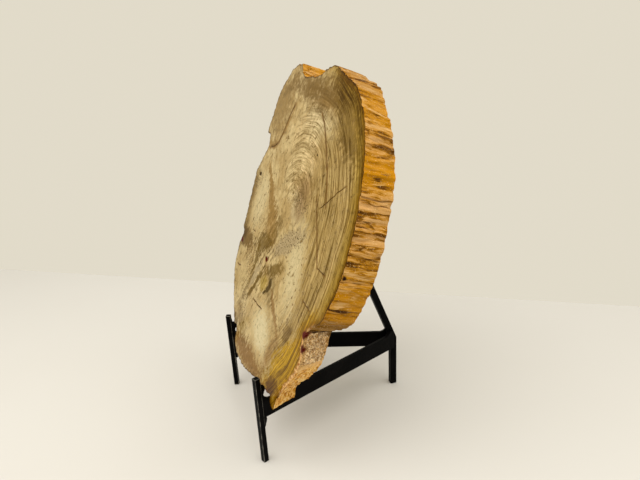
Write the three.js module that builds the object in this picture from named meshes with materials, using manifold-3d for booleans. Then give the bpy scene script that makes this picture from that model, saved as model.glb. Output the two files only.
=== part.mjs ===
// A petrified wood slice leaning on a black iron easel.
// Millimetres, +Z up. The slice faces the front, -Y, and +X is on the right of someone who looks at it.
// The origin is the middle of the model's own box, on the surface that the easel stands on.
import * as THREE from 'three';
import { mergeVertices } from 'three/addons/utils/BufferGeometryUtils.js';
import Module from 'manifold-3d';

const wasm = await Module();
wasm.setup();

// Driving dimensions of the easel
const FEET_APART = 125;      // between the centre lines of the two front posts
const POST_BAR = 4.8;        // square bar of the posts
const POST_HEIGHT = 80.5;
const POST_LEAN = 2.4;       // the top of a post stands this far forward of its foot
const RAIL_THICKNESS = 3.2;  // flat bar on edge
const RAIL_DEPTH = 15.9;
const RAIL_TOP = 58;         // level all the way, and the slice rests on it
const RAILS_MEET_Y = 157.3;  // where the centre lines of the two rails would cross, in the rear leg
const HORN_HEIGHT = 14;      // a rail's front end curves up the post, and holds the slice from in front
const HORN_LENGTH = 8.5;
const WELD_HEIGHT = 4.2;     // lump of weld where a rail meets the prop
const WELD_LENGTH = 6;
const PROP_BAR = 6.35;       // square bar, bent once
const PROP_Y = 152.5;        // centre line of the upright rear leg, behind the posts
const PROP_BEND_HEIGHT = 52.5;
const PROP_LEAN = 22;        // degrees forward above the bend
const BAR_BEVEL = 0.5;

// Driving dimensions of the slice and how it leans
const SLICE_THICKNESS = 25;
const SLICE_LEAN = 18.3;     // degrees back
const SLICE_TURN = 3;        // degrees about the vertical: its left side stands further forward
const SLICE_FRONT_Y = 5.2;   // front face above the rails, measured from the posts' centre line
const GAP = 0.3;             // between pieces that touch
const RIM_STEPS = 384;
const LAYERS = 6;

// Furrows across the edge: spacing and depth, and the length of rim over which the spacing strays
const BROAD_FURROW = { spacing: 34, depth: 0.8 };
const FURROW = { spacing: 13.7, depth: 0.7, stray: 97 };
const FINE_FURROW = { spacing: 7.3, depth: 0.5, stray: 61 };
const FURROW_BEND = 1.6;     // sideways, from the front face to the rear one
const RIM_RELIEF = 0.5;      // share of the depth that reaches the polished front rim

// The rim of the sawn front face, from the left peak down the left side, along the bottom and up the right
// side: across and up on the face, then how far the rear rim is from it, across and up.
const RIM = [
  [-49, 277, 0, 0], [-58, 275, 0, 0], [-67, 271, 0, 0], [-77, 262, 0, 0], [-85, 254, 0, 0],
  [-91, 243, 1, 0], [-95, 228, 2, 0], [-99, 213, 2, 0], [-98, 208, 2, 0], [-90, 206, 1, 0],
  [-86, 195, 0, 0], [-92, 186, 1, 0], [-105, 169, 2, 0], [-112, 162, 3, 0], [-113, 150, 3, 0],
  [-109, 137, 1, 0], [-108, 125, 1, 0], [-110, 114, 2, 0], [-107, 104, 1, 0], [-102, 99, 0, 0],
  [-109, 83, 2, 0], [-107, 63, 2, 0], [-103, 53, 2, 0], [-90, 37, 3, 1], [-80, 25, 4, 2],
  [-75, 15, 6, 4], [-70, 9, 10, 5], [-65, 7.4, 12, 3.4], [-59.4, 7.2, 11.4, 3.2], [-57, -2, 9.4, 8],
  [-46, -9.5, 5, 12], [-33, -12, 0, 11], [-8, -11, 0, 9], [14, -6, 0, 7], [40, -2, -4, 9],
  [52, -0.2, -8, 9.6], [59.6, 1.4, -8.2, 8], [62.2, -2.5, -9, 3], [67, -4.5, -12.5, 2.5], [73.5, -4, -17, 1.5],
  [74.5, 4, -19, 1], [80, 14, -19, 0], [87, 27, -14, 0], [97, 46, -11, 0], [99, 54, -11, 0],
  [96, 62, -8, 1], [94, 73, -5, 2], [103, 82, 0, 1], [112, 90, 0, 0], [117, 101, 2, 0],
  [122, 114, 1, 0], [125, 133, 2, 0], [125, 150, 2, 0], [123, 170, 0, 0], [119, 188, 1, 0],
  [113, 206, 0, 0], [104, 224, -3, 0], [94, 238, -4, -1], [80, 251, -4, -2], [69, 258, -2, 0],
  [59, 261, 0, 2], [41, 268, -2, 0], [26, 272, 0, 0], [12, 270, 0, 1], [4, 267, 0, 0],
  [-5, 264, 0, 0], [-21, 264, 0, 0], [-35, 264, 0, 0], [-42, 268, 0, 0],
];

const iron = new THREE.MeshStandardMaterial({ color: 0x0b0b0c, roughness: 0.42, metalness: 0.7 });
const stone = new THREE.MeshStandardMaterial({ color: 0xb08a4e, roughness: 0.35, metalness: 0 });

const radians = THREE.MathUtils.degToRad;
const model = new THREE.Group();

function toSolid(geometry) {
  const bare = geometry.clone();
  bare.deleteAttribute('normal');
  bare.deleteAttribute('uv');
  const merged = mergeVertices(bare);
  return new wasm.Manifold(new wasm.Mesh({
    numProp: 3,
    vertProperties: new Float32Array(merged.attributes.position.array),
    triVerts: new Uint32Array(merged.index.array),
  }));
}

function toGeometry(solid) {
  const mesh = solid.getMesh();
  const geometry = new THREE.BufferGeometry();
  geometry.setAttribute('position', new THREE.BufferAttribute(mesh.vertProperties, 3));
  geometry.setIndex(new THREE.BufferAttribute(mesh.triVerts, 1));
  return geometry;
}

function addNode(name, geometry, material, parent = model) {
  const mesh = new THREE.Mesh(geometry, material);
  mesh.name = name;
  parent.add(mesh);
  return mesh;
}

// A flat outline, along and up, given a thickness across it and stood up in the plane of `along` and +Z
function standingBar(outline, thickness, along, start, bevel = BAR_BEVEL) {
  const geometry = new THREE.ExtrudeGeometry(outline, {
    depth: thickness - 2 * bevel,
    bevelEnabled: bevel > 0,
    bevelThickness: bevel,
    bevelSize: bevel,
    bevelOffset: -bevel,
    bevelSegments: 1,
    curveSegments: 6,
  });
  geometry.translate(0, 0, bevel - thickness / 2);
  const up = new THREE.Vector3(0, 0, 1);
  const across = along.clone().cross(up);
  geometry.applyMatrix4(new THREE.Matrix4().makeBasis(along, up, across));
  geometry.translate(start.x, start.y, 0);
  return geometry;
}

const backwards = new THREE.Vector3(0, 1, 0);

function postGeometry(side, grow = 0) {
  const half = POST_BAR / 2 + grow;
  const outline = new THREE.Shape([
    new THREE.Vector2(-half, 0),
    new THREE.Vector2(half, 0),
    new THREE.Vector2(half - POST_LEAN, POST_HEIGHT),
    new THREE.Vector2(-half - POST_LEAN, POST_HEIGHT),
  ]);
  return standingBar(outline, 2 * half, backwards, new THREE.Vector2(side * FEET_APART / 2, 0));
}

// How far back the slice's rear face is on the centre line, at height z
function sliceBackAt(z) {
  const lean = radians(SLICE_LEAN);
  const reach = SLICE_THICKNESS + (z - RAIL_TOP) * Math.sin(lean);
  return SLICE_FRONT_Y + reach / (Math.cos(lean) * Math.cos(radians(SLICE_TURN)));
}

// The height at which a line that starts at y and leans forward from the bend meets the slice's rear face
function propMeetsSlice(y) {
  const slope = Math.tan(radians(PROP_LEAN));
  const backSlope = sliceBackAt(1) - sliceBackAt(0);
  const touch = sliceBackAt(0) + 2 * GAP;
  return (y + slope * PROP_BEND_HEIGHT - touch) / (backSlope + slope);
}

// The rear leg and the prop that leans forward from it to the slice are one bent bar
function propGeometry(grow = 0) {
  const half = PROP_BAR / 2 + grow;
  const slope = Math.tan(radians(PROP_LEAN));
  const mitre = half * Math.tan(radians(PROP_LEAN / 2));
  const leaning = half / Math.cos(radians(PROP_LEAN));
  const corner = (side) => new THREE.Vector2(PROP_Y + side * half, PROP_BEND_HEIGHT + side * mitre);
  const tip = (side) => {
    const z = propMeetsSlice(PROP_Y + side * leaning);
    return new THREE.Vector2(PROP_Y + side * leaning - slope * (z - PROP_BEND_HEIGHT), z);
  };
  const outline = new THREE.Shape([
    new THREE.Vector2(PROP_Y - half, 0),
    new THREE.Vector2(PROP_Y + half, 0),
    corner(1),
    tip(1),
    tip(-1),
    corner(-1),
  ]);
  return standingBar(outline, 2 * half, backwards, new THREE.Vector2(0, 0));
}

// A rail's side outline runs from inside the post to the far end of the weld beside the prop
function railGeometry(side) {
  const front = new THREE.Vector2(side * FEET_APART / 2, 0);
  const run = new THREE.Vector2(-front.x, RAILS_MEET_Y).normalize();
  const outerEdge = FEET_APART / 2 + run.y * RAIL_THICKNESS / 2;
  const length = (outerEdge - PROP_BAR / 2 - GAP) / Math.abs(run.x);
  const horn = POST_BAR / 2 + HORN_LENGTH;
  const crest = RAIL_TOP + WELD_HEIGHT;
  const outline = new THREE.Shape();
  outline.moveTo(0, RAIL_TOP - RAIL_DEPTH);
  outline.lineTo(length, RAIL_TOP - RAIL_DEPTH);
  outline.lineTo(length, RAIL_TOP - WELD_HEIGHT / 2);
  outline.quadraticCurveTo(length, crest, length - WELD_LENGTH / 2, crest);
  outline.lineTo(length - WELD_LENGTH, crest);
  outline.quadraticCurveTo(length - 1.3 * WELD_LENGTH, RAIL_TOP + 1, length - 2 * WELD_LENGTH, RAIL_TOP);
  outline.lineTo(horn, RAIL_TOP);
  outline.quadraticCurveTo(POST_BAR / 2, RAIL_TOP, 0, RAIL_TOP + HORN_HEIGHT + POST_BAR / 2);
  const along = new THREE.Vector3(run.x, run.y, 0);
  return toGeometry(
    toSolid(standingBar(outline, RAIL_THICKNESS, along, front, BAR_BEVEL / 2))
      .subtract(toSolid(postGeometry(side, GAP)))
      .subtract(toSolid(propGeometry(GAP))),
  );
}

function sine(at, wavelength, phase = 0) {
  return Math.sin(2 * Math.PI * at / wavelength + phase);
}

function wavyFurrow(kind, at, along) {
  return kind.depth * (0.5 + 0.5 * sine(at, kind.spacing, sine(along, kind.stray)));
}

// Furrows run from the front face to the rear one and cut inwards only. `through` goes from 0 to 1.
function furrowDepth(along, through) {
  const at = along + FURROW_BEND * sine(through, 1.7, along / BROAD_FURROW.spacing);
  const sharp = BROAD_FURROW.depth * (1 - Math.sqrt(Math.abs(sine(at, BROAD_FURROW.spacing))));
  return sharp + wavyFurrow(FURROW, at, along) + wavyFurrow(FINE_FURROW, at, along);
}

function rimCurve(pick) {
  const points = RIM.map((point) => new THREE.Vector3(...pick(point)));
  return new THREE.CatmullRomCurve3(points, true, 'centripetal');
}

// Local axes: x across the face, y through the thickness from the front face, z up the face
function sliceGeometry() {
  const frontRim = rimCurve(([across, up]) => [across, 0, up]);
  const rearRim = rimCurve(([across, up, dx, dz]) => [across + dx, SLICE_THICKNESS, up + dz]);
  frontRim.arcLengthDivisions = 2000;
  const perimeter = frontRim.getLength();
  const positions = [];
  for (let layer = 0; layer <= LAYERS; layer += 1) {
    const through = layer / LAYERS;
    const relief = layer === 0 ? RIM_RELIEF : 1;
    for (let step = 0; step < RIM_STEPS; step += 1) {
      const t = frontRim.getUtoTmapping(step / RIM_STEPS);
      const point = frontRim.getPoint(t).lerp(rearRim.getPoint(t), through);
      const tangent = frontRim.getTangent(t);
      const depth = relief * furrowDepth(perimeter * step / RIM_STEPS, through);
      positions.push(point.x - depth * tangent.z, point.y, point.z + depth * tangent.x);
    }
  }
  const ring = (layer) => layer * RIM_STEPS;
  const contour = (layer) => Array.from({ length: RIM_STEPS }, (_, step) => {
    const at = 3 * (ring(layer) + step);
    return new THREE.Vector2(positions[at], positions[at + 2]);
  });
  const index = [];
  for (const [a, b, c] of THREE.ShapeUtils.triangulateShape(contour(0), [])) {
    index.push(a, b, c);
  }
  for (const [a, b, c] of THREE.ShapeUtils.triangulateShape(contour(LAYERS), [])) {
    index.push(ring(LAYERS) + a, ring(LAYERS) + c, ring(LAYERS) + b);
  }
  for (let layer = 0; layer < LAYERS; layer += 1) {
    for (let step = 0; step < RIM_STEPS; step += 1) {
      const next = (step + 1) % RIM_STEPS;
      const near = ring(layer);
      const far = ring(layer + 1);
      index.push(near + step, far + step, near + next);
      index.push(near + next, far + step, far + next);
    }
  }
  const geometry = new THREE.BufferGeometry();
  geometry.setAttribute('position', new THREE.Float32BufferAttribute(positions, 3));
  geometry.setIndex(index);
  return geometry;
}

for (const [name, side] of [['left', -1], ['right', 1]]) {
  addNode(`front_post_${name}`, postGeometry(side), iron);
  addNode(`side_rail_${name}`, railGeometry(side), iron);
}
addNode('rear_prop', propGeometry(), iron);

const leaning = new THREE.Group();
leaning.position.set(0, SLICE_FRONT_Y, RAIL_TOP);
leaning.rotation.set(-radians(SLICE_LEAN), 0, radians(SLICE_TURN), 'ZYX');
addNode('petrified_wood_slice', sliceGeometry(), stone, leaning);
model.add(leaning);

const box = new THREE.Box3().setFromObject(model, true);
const middle = box.getCenter(new THREE.Vector3());
model.position.set(-middle.x, -middle.y, -box.min.z);

export default model;
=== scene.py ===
"""A petrified wood slice with a polished face and an amber bark edge, leaning on a black iron easel."""

import math
from types import SimpleNamespace

import bmesh
import bpy
import numpy as np
from mathutils import Matrix, Vector, geometry, noise


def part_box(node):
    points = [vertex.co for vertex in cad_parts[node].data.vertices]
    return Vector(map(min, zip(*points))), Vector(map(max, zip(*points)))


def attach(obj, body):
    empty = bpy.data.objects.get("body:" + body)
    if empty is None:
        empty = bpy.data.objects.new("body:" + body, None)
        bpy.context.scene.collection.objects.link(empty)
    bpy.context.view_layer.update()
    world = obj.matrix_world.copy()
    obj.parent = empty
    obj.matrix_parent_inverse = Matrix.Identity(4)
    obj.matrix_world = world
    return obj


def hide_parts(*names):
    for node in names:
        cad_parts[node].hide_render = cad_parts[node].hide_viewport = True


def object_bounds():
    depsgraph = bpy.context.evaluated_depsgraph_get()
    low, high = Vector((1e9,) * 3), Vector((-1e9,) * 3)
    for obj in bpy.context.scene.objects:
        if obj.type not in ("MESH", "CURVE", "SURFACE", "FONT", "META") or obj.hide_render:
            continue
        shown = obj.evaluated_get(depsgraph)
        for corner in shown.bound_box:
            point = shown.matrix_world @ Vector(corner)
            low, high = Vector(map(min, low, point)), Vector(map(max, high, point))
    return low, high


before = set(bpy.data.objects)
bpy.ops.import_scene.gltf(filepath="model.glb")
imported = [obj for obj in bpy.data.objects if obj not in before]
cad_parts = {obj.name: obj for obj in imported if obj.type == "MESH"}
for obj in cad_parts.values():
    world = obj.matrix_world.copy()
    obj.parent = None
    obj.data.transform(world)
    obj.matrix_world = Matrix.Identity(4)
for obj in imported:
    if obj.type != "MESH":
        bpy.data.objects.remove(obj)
frame_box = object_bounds()
MM = 0.001

# The slab's own axes: across the face, through the thickness from the front, and up the face.
# Sizes on them are in mm
THICKNESS = 25
LEAN = math.radians(18.3)  # of the face, backwards
TURN = math.radians(3)     # of the face, about the upright
POST_BAR = 4.8             # square bar of the front posts
LEG_BAR = 6.35             # square bar of the rear leg
RAIL_TOP = 58              # height that the slice rests at
FRONT_Y = 5.2              # from the posts back to the face, at that height
ACROSS = Vector((math.cos(TURN), math.sin(TURN), 0))
UP = Vector((-math.sin(TURN) * math.sin(LEAN), math.cos(TURN) * math.sin(LEAN), math.cos(LEAN)))
THROUGH = Vector((-math.sin(TURN) * math.cos(LEAN), math.cos(TURN) * math.cos(LEAN), -math.sin(LEAN)))
SLICE = "petrified_wood_slice"


def stand_origin():
    """The middle between the two posts' feet, in mm."""
    left_low, left_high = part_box("front_post_left")
    _, right_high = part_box("front_post_right")
    return Vector(((left_low.x + right_high.x) / 2, left_high.y - POST_BAR / 2 * MM, 0)) / MM


ORIGIN = stand_origin() + Vector((0, FRONT_Y, RAIL_TOP))
AXES = np.array([ACROSS, THROUGH, UP])


def to_world(slab):
    """Rows of across, through, up in mm to rows in metres."""
    return (np.asarray(slab) @ AXES + np.array(ORIGIN)) * MM


def to_slab(world):
    return (np.asarray(world) / MM - np.array(ORIGIN)) @ AXES.T


# The two rims, read from the CAD slice
TOUCH = 0.05  # mm


def walk_loop(neighbours):
    start = min(neighbours)
    loop = [start]
    came, at = None, start
    while True:
        onward = [n for n in neighbours[at] if n != came]
        came, at = at, onward[0]
        if at == start:
            return loop
        loop.append(at)


def rim_at(points, faces, depth):
    """The closed loop of points at this depth, counterclockwise as seen from the front."""
    on = np.abs(points[:, 1] - depth) < TOUCH
    neighbours = {}
    for face in faces:
        pair = [int(v) for v in face if on[v]]
        if len(pair) == 2:
            neighbours.setdefault(pair[0], []).append(pair[1])
            neighbours.setdefault(pair[1], []).append(pair[0])
    loop = points[walk_loop(neighbours)][:, [0, 2]]
    onward = np.roll(loop, -1, axis=0)
    turning = np.sum(loop[:, 0] * onward[:, 1] - loop[:, 1] * onward[:, 0])
    return loop if turning > 0 else loop[::-1]


def read_rims():
    """The front and the rear rim of the CAD slice, point for point."""
    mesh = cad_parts[SLICE].data
    mesh.calc_loop_triangles()
    points = to_slab([v.co for v in mesh.vertices])
    _, first, same = np.unique(np.round(points, 2), axis=0, return_index=True, return_inverse=True)
    same = same.reshape(-1)
    faces = [[same[v] for v in t.vertices] for t in mesh.loop_triangles]
    front = rim_at(points[first], faces, 0)
    rear = rim_at(points[first], faces, THICKNESS)
    shifts = [np.sum((front - np.roll(rear, -k, axis=0)) ** 2) for k in range(len(rear))]
    return front, np.roll(rear, -int(np.argmin(shifts)), axis=0)


def refine(loop, times):
    """A smooth closed curve through the points, in that many steps from each to the next."""
    before, after, beyond = np.roll(loop, 1, 0), np.roll(loop, -1, 0), np.roll(loop, -2, 0)
    rows = []
    for k in range(times):
        t = k / times
        rows.append(0.5 * (2 * loop + (after - before) * t
                           + (2 * before - 5 * loop + 4 * after - beyond) * t ** 2
                           + (3 * loop - before - 3 * after + beyond) * t ** 3))
    return np.stack(rows, 1).reshape(-1, 2)


STEPS = 4         # from one point of the CAD rim to the next
ROWS = 20         # through the thickness
SPAN = 6 * STEPS  # columns on either side that the rim's direction is taken over


def left_of(onward):
    """The unit vector to the left of each row."""
    onward = onward / np.linalg.norm(onward, axis=1)[:, None]
    return np.stack([-onward[:, 1], onward[:, 0]], 1)


def inward_normals(loop):
    return left_of(np.roll(loop, -SPAN, 0) - np.roll(loop, SPAN, 0))


# The rim is filled out above the rails, by these millimetres
SWELL = 1.3                # all round, for the bark's ridges
LEFT_WIDER = 5.4           # more on the left
CLEAR_OF_RAILS = (10, 30)  # heights from nothing to all of it
LEFT_SIDE = (30, 70)       # distances left of the middle, likewise


def room_in_box(loop, depth):
    """From each point of the rim to the sides and the top of the whole object's box, in mm."""
    places = to_world(np.insert(loop, 1, depth, 1))
    low, high = np.array(frame_box[0]), np.array(frame_box[1])
    gaps = [places[:, 0] - low[0], high[0] - places[:, 0], high[2] - places[:, 2]]
    return np.maximum(np.min(gaps, axis=0) / MM, 0)


def fill_out(loop, depth):
    """The rim moved outwards, but not past the whole object's box."""
    above = np.array([fade(b, *CLEAR_OF_RAILS) for b in loop[:, 1]])
    on_left = np.array([fade(-a, *LEFT_SIDE) for a in loop[:, 0]])
    wider = np.minimum(LEFT_WIDER * above * on_left, room_in_box(loop, depth))
    loop = loop - np.column_stack([wider, np.zeros(len(loop))])
    swell = np.minimum(SWELL * above, room_in_box(loop, depth))
    return loop - inward_normals(loop) * swell[:, None]


def wave(x, y, z, size):
    """Smooth noise, about -1 to 1, with features of that size."""
    return noise.noise(Vector((x, y, z)) / size)


def fade(value, low, high):
    """0 below low and 1 above high, smooth between them."""
    t = min(1.0, max(0.0, (value - low) / (high - low)))
    return t * t * (3 - 2 * t)


def near(point, centre, radius):
    """1 at the centre, 0 from the radius on."""
    return 1 - fade(math.dist(point, centre), 0.4 * radius, radius)


# Places on the edge, across and up
POCKET = (96.5, 60)       # crystal pocket under the ledge
POCKET_RADIUS = 17
TIP = (78, 22)            # lumpy stone between the pocket and the tip
TIP_RADIUS = 40
SMOOTH_TOP = (98, 232)    # glassy amber facets
SMOOTH_RADIUS = 26
# The bark's relief: size of a feature, and how deep it is cut
RIDGE, RIDGE_DEPTH = 3.4, 1.2
FIBRE, FIBRE_DEPTH = 1.0, 0.35
GAP, GAP_DEPTH = 5.5, 1.4
LUMP, LUMP_DEPTH = 4.6, 2.2
GRAIN, GRAIN_DEPTH = 0.9, 0.4
POCKET_DEPTH = 1.6
BEND, BEND_REACH = 13, 1.1   # the fibres wander sideways
ALONG_FIBRES = 0.12          # how fast ridges change through the thickness, against along the rim
ALONG_GAPS = 0.1


def edge_relief(point, through):
    """How far the bark is cut back there, in mm, and how deep in a gap it is, 0 to 1."""
    a, b = point
    pocket = near(point, POCKET, POCKET_RADIUS)
    lumpy = max(near(point, TIP, TIP_RADIUS), pocket)
    glassy = near(point, SMOOTH_TOP, SMOOTH_RADIUS)
    bend = BEND_REACH * wave(a, b, through * 1.6, BEND)
    x, y, along = a + bend, b + bend, through * ALONG_FIBRES
    ridge = fade(wave(x, y, along, RIDGE), -0.22, 0.22)
    fibre = 0.5 + 0.5 * wave(x, y, along, FIBRE)
    line = abs(wave(x, y, through * ALONG_GAPS + 40, GAP))
    gap = (1 - fade(line, 0.0, 0.09)) * fade(wave(a, b, through * 0.7, 9), -0.15, 0.2)
    lump = 0.5 + 0.5 * wave(a, b, through, LUMP) + 0.35 * wave(a, b, through + 9, 2)
    grain = 0.5 + 0.5 * wave(a, b, through, GRAIN)
    fibrous = RIDGE_DEPTH * ridge + FIBRE_DEPTH * fibre + GAP_DEPTH * gap * (1 - 0.7 * glassy)
    rough = LUMP_DEPTH * lump + GRAIN_DEPTH * grain
    depth = fibrous * (1 - lumpy) + rough * lumpy + POCKET_DEPTH * pocket
    return (1 - 0.45 * glassy) * depth, gap * (1 - lumpy)


FRONT_RIM, REAR_RIM = (fill_out(refine(loop, STEPS), depth)
                       for loop, depth in zip(read_rims(), (0, THICKNESS)))
COLUMNS = len(FRONT_RIM)
INWARD = inward_normals(FRONT_RIM)


def chip_depth(point):
    """Small bites out of the front rim."""
    a, b = point
    bite = fade(wave(a, b, 3, 5.5), 0.18, 0.5)
    return 0.12 + 0.9 * bite + 0.25 * (0.5 + 0.5 * wave(a, b, 8, 1.7))


def edge_grid():
    """Points of the edge, row by row from front to rear, and how deep in a gap each is."""
    levels = np.linspace(0, THICKNESS, ROWS + 1)
    levels[1] *= 0.75
    levels[-2] = THICKNESS - levels[1]
    points, gaps = [], []
    for level in levels:
        share = level / THICKNESS
        base = FRONT_RIM * (1 - share) + REAR_RIM * share
        full = fade(min(level, THICKNESS - level), -0.4, 1.2)
        for k in range(COLUMNS):
            depth, gap = edge_relief(FRONT_RIM[k], level)
            depth *= 0.35 + 0.65 * full
            if level in (0, THICKNESS):
                depth += chip_depth(FRONT_RIM[k])
            at = base[k] + INWARD[k] * depth
            points.append((at[0], level, at[1]))
            gaps.append(gap * full)
    return np.array(points), np.array(gaps)


# Growth rings: circles about the heart above it, and ellipses drawn out downwards below it
HEART = np.array([5.0, 150.0])
DRAWN_OUT = 0.57
AROUND_RADIUS = 100.0  # mm, turns an angle into a length along a ring


def grown_from_heart(flat):
    """Rows of distance outwards and distance along the ring."""
    away = flat - HEART
    away[:, 1] *= np.where(away[:, 1] < 0, DRAWN_OUT, 1)
    along = np.arctan2(away[:, 1], away[:, 0]) * AROUND_RADIUS
    return np.stack([np.linalg.norm(away, axis=1), along], 1)


def distances(flat, line):
    """From each point to the nearest of the line's points."""
    found = []
    for part in np.array_split(flat, max(1, len(flat) // 2000)):
        found.append(np.min(np.linalg.norm(part[:, None] - line[None], axis=2), 1))
    return np.concatenate(found)


def is_inside(flat, loop):
    """Whether each point is inside the loop, by the rim's crossings to its right."""
    ahead = np.roll(loop, -1, 0)
    crossings = np.zeros(len(flat), int)
    for (x0, y0), (x1, y1) in zip(loop, ahead):
        spans = (flat[:, 1] > y0) != (flat[:, 1] > y1)
        if spans.any():
            at = x0 + (flat[:, 1] - y0) * (x1 - x0) / (y1 - y0 if y1 != y0 else 1e-9)
            crossings += spans & (flat[:, 0] < at)
    return crossings % 2 == 1


# Cracks in the face: points across and up, width, depth and how far the brown stain reaches
CRACKS = [
    ([(-43, 239), (-49, 231), (-54, 220), (-59, 210), (-65, 201)], 1.1, 0.5, 3.2),
    ([(-65, 201), (-74, 197), (-84, 195)], 0.9, 0.4, 3.6),
    ([(23, 234), (33, 226), (44, 213), (52, 203), (58, 193)], 0.9, 0.4, 2.4),
    ([(58, 196), (66, 181), (73, 166)], 0.6, 0.3, 2.6),
    ([(53, 171), (59, 161), (67, 149), (75, 137), (84, 123)], 0.9, 0.4, 1.9),
    ([(63, 163), (75, 171), (86, 180), (97, 187)], 0.7, 0.3, 0.8),
    ([(84, 122), (101, 121)], 0.6, 0.2, 1.2),
    ([(75, 92), (92, 90)], 0.6, 0.2, 1.2),
    ([(-31, 52), (-17, 51.5), (-4, 52.5)], 1.0, 0.5, 1.4),
    ([(-79, 110), (-71, 109)], 1.0, 0.5, 1.0),
    ([(-104, 65), (-92, 66)], 1.0, 0.4, 1.4),
]
# Pits in the face: across, up, radius across, radius up, depth
PITS = [
    (-22.5, 95, 3.4, 2.6, 1.6),
    (-98, 165, 4.0, 2.4, 1.4),
    (-79, 13.5, 2.4, 2.0, 1.2),
    (52, 0.5, 2.2, 1.6, 1.0),
    (34, 201, 1.4, 1.0, 0.6),
]
CRACK_STEP = 1.1


def crack_lines():
    """Each crack as points about a millimetre apart, wandering a little."""
    lines = []
    for points, width, depth, stain in CRACKS:
        runs = []
        for start, end in zip(points, points[1:]):
            steps = max(1, int(math.dist(start, end) / CRACK_STEP))
            runs.append(np.linspace(start, end, steps, endpoint=False))
        line = np.concatenate([*runs, points[-1:]])
        line[:, 1] += [0.7 * wave(x, y, 5, 4) + 0.35 * wave(x, y, 9, 1.6) for x, y in line]
        lines.append((line, width, depth, stain))
    return lines


CRACK_LINES = crack_lines()


def stain_at(flat):
    """1 in a crack, falling to 0 where its stain ends."""
    found = np.zeros(len(flat))
    for line, _, _, stain in CRACK_LINES:
        found = np.maximum(found, np.clip(1 - distances(flat, line) / stain, 0, 1))
    return found


def scatter(loop, spacing):
    """Points inside the loop, a little off a regular grid."""
    low, high = loop.min(0), loop.max(0)
    rows = np.arange(low[1], high[1], spacing * math.sqrt(3) / 2)
    grid = []
    for k, y in enumerate(rows):
        xs = np.arange(low[0] + (k % 2) * spacing / 2, high[0], spacing)
        grid.append(np.stack([xs, np.full(len(xs), y)], 1))
    grid = np.concatenate(grid)
    rng = np.random.default_rng(7)
    grid += rng.uniform(-0.22, 0.22, grid.shape) * spacing
    grid = grid[is_inside(grid, loop)]
    return grid[distances(grid, loop[::2]) > 0.55 * spacing]


def crack_points(line, width, depth):
    """The crack's bottom, then both its sides: across, up, how deep, and how much of a crack."""
    side = left_of(np.gradient(line, axis=0)) * width / 2
    ends = np.minimum(np.arange(len(line)), np.arange(len(line))[::-1])
    points = []
    for point, steps in zip(line, ends):
        full = min(1.0, steps / 3)
        points.append((*point, depth * full, full))
    for k in range(1, len(line) - 1):
        for way in (1, -1):
            points.append((*(line[k] + way * side[k] * min(1.0, 0.35 + ends[k] / 4)), 0, 0))
    return points


def pit_dips(grid):
    """How deep each point lies in a pit, and how much of a pit it is in."""
    sunk = np.zeros((len(grid), 2))
    for x, y, wide, tall, depth in PITS:
        radius = np.linalg.norm((grid - (x, y)) / (wide, tall), axis=1)
        for k in np.flatnonzero(radius < 1.35):
            dip = 1 - fade(radius[k] + 0.25 * wave(*grid[k], 0, 1.5), 0.35, 1.15)
            sunk[k] = (depth * dip, dip)
    return sunk


def face_points(loop, spacing, cracked):
    """Points inside the loop, their depths and shares in cracks or pits, and the cracks' links."""
    grid = scatter(loop, spacing)
    if not cracked:
        return grid, np.zeros((len(grid), 2)), []
    extra, links = [], []
    for line, width, depth, _ in CRACK_LINES:
        grid = grid[distances(grid, line) > width + 0.2]
        first = len(extra)
        links += [(first + k - 1, first + k) for k in range(1, len(line))]
        extra += crack_points(line, width, depth)
    extra = np.array(extra)
    count = len(grid)
    points = np.concatenate([grid, extra[:, :2]])
    values = np.concatenate([pit_dips(grid), extra[:, 2:]])
    return points, values, [(a + count, b + count) for a, b in links]


def fill_face(loop, spacing, cracked=False):
    """Inner points, their values, and triangles over the whole inside, the loop's points first."""
    inner, values, links = face_points(loop, spacing, cracked)
    count = len(loop)
    everything = [Vector(p) for p in np.concatenate([loop, inner])]
    border = [(k, (k + 1) % count) for k in range(count)]
    inner_links = [(a + count, b + count) for a, b in links]
    made = geometry.delaunay_2d_cdt(everything, border + inner_links, [], 1, 1e-6)
    source = [origins[0] if origins else -1 for origins in made[3]]
    faces = [[source[v] for v in face] for face in made[2]]
    return inner, values, [f for f in faces if min(f) >= 0]


FACE_SPACING = 1.35
BACK_SPACING = 3.0
FACE_SLOT, BARK_SLOT, BACK_SLOT = 0, 1, 2
SHARP = math.radians(38)


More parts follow.
